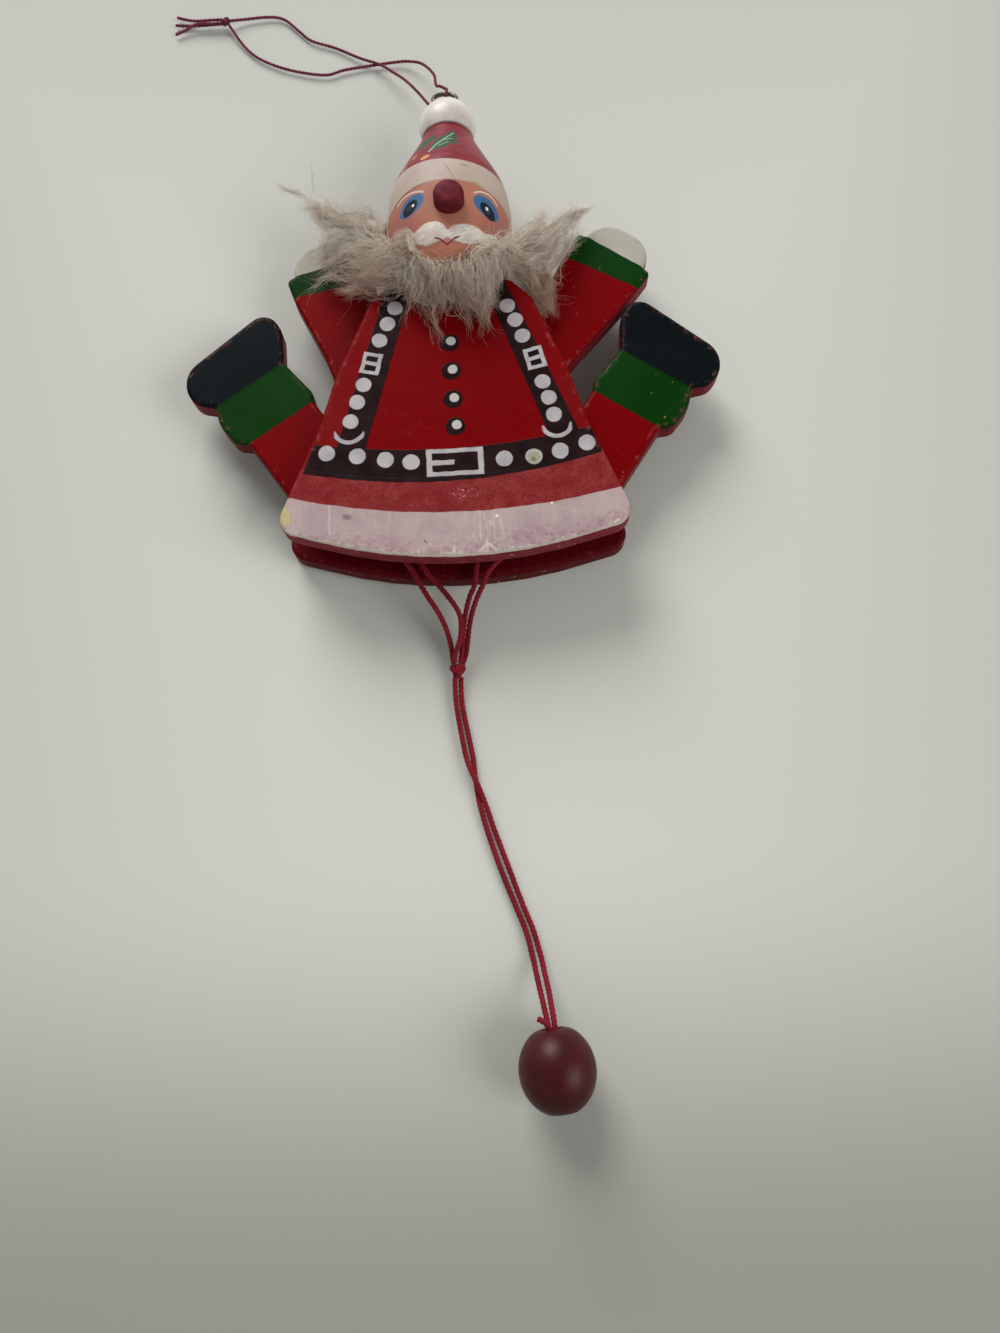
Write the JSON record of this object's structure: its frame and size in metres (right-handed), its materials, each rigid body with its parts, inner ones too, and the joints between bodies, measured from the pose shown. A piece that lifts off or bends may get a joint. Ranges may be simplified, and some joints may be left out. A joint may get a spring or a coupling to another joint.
{
  "type": "jumping jack toy",
  "caption": "Flat wooden pull-string figure with a turned head in a pointed cap, a hair beard, swinging arms and legs between two boards, a pull cord with a bead and a hanging thread.",
  "frame": {"origin": "on the back board's back face, 35 mm above the middle of the hem, on the centre line", "axes": "+X to the side of the raised arm on the viewer's right, +Y up towards the head, +Z out of the front; the toy lies on its back on the plane Z = 0"},
  "size_m": [0.1407, 0.2877, 0.0345],
  "materials": {
    "red_board": "satin paint",
    "dark_red_board": "matt paint",
    "red_limb": "satin paint",
    "bare_wood": "bare",
    "face_paint": "satin paint",
    "nose_paint": "satin paint",
    "ball_paint": "gloss paint",
    "brass": "dull",
    "hair": "loose fibre",
    "nail_steel": "plain",
    "thread": "twisted thread",
    "cord": "twisted cord",
    "bead_paint": "gloss paint"
  },
  "bodies": {
    "body": {"front_board": "red_board", "back_board": "dark_red_board", "neck_block": "bare_wood", "neck_dowel": "bare_wood", "head": "face_paint", "nose_peg": "nose_paint", "hat_ball": "ball_paint", "screw_eye": "brass", "beard": "hair", "left_shoulder_nail": "nail_steel", "right_shoulder_nail": "nail_steel", "left_hip_nail": "nail_steel", "right_hip_nail": "nail_steel", "hanging_thread_a": "thread", "hanging_thread_b": "thread", "thread_knot": "thread", "thread_tails": "thread"},
    "left_arm": {"left_arm": "red_limb"},
    "right_arm": {"right_arm": "red_limb"},
    "left_leg": {"left_leg": "red_limb"},
    "right_leg": {"right_leg": "red_limb"},
    "pull": {"gather_knot": "cord", "pull_cord_a": "cord", "pull_cord_b": "cord", "cord_stub": "cord", "pull_bead": "bead_paint", "left_arm_string": "cord", "right_arm_string": "cord", "left_leg_string": "cord", "right_leg_string": "cord"}
  },
  "joints": [
    {"name": "right_leg_swing", "type": "hinge", "parent": "body", "child": "right_leg", "pos_m": [0.027, -0.018, 0.00925], "axis": [0, 0, -1], "range_deg": [0, 134]},
    {"name": "left_leg_swing", "type": "hinge", "parent": "body", "child": "left_leg", "pos_m": [-0.027, -0.018, 0.00925], "axis": [0, 0, 1], "range_deg": [0, 133]},
    {"name": "right_arm_swing", "type": "hinge", "parent": "body", "child": "right_arm", "pos_m": [0.021, 0.017, 0.00925], "axis": [0, 0, -1], "range_deg": [0, 97.5]},
    {"name": "left_arm_swing", "type": "hinge", "parent": "body", "child": "left_arm", "pos_m": [-0.021, 0.017, 0.00925], "axis": [0, 0, 1], "range_deg": [0, 115]},
    {"name": "pull_slide", "type": "slide", "parent": "body", "child": "pull", "axis": [0, 1, 0], "range_m": [0, 0.0112], "deforming": ["left_arm_string", "right_arm_string", "left_leg_string", "right_leg_string"]}
  ],
  "couplings": [
    {"joint": "left_leg_swing", "follows": "right_leg_swing", "ratio": 0.99253},
    {"joint": "right_arm_swing", "follows": "right_leg_swing", "ratio": 0.7276},
    {"joint": "left_arm_swing", "follows": "right_leg_swing", "ratio": 0.8582},
    {"joint": "pull_slide", "follows": "right_leg_swing", "m_per_rad": 0.004788}
  ]
}
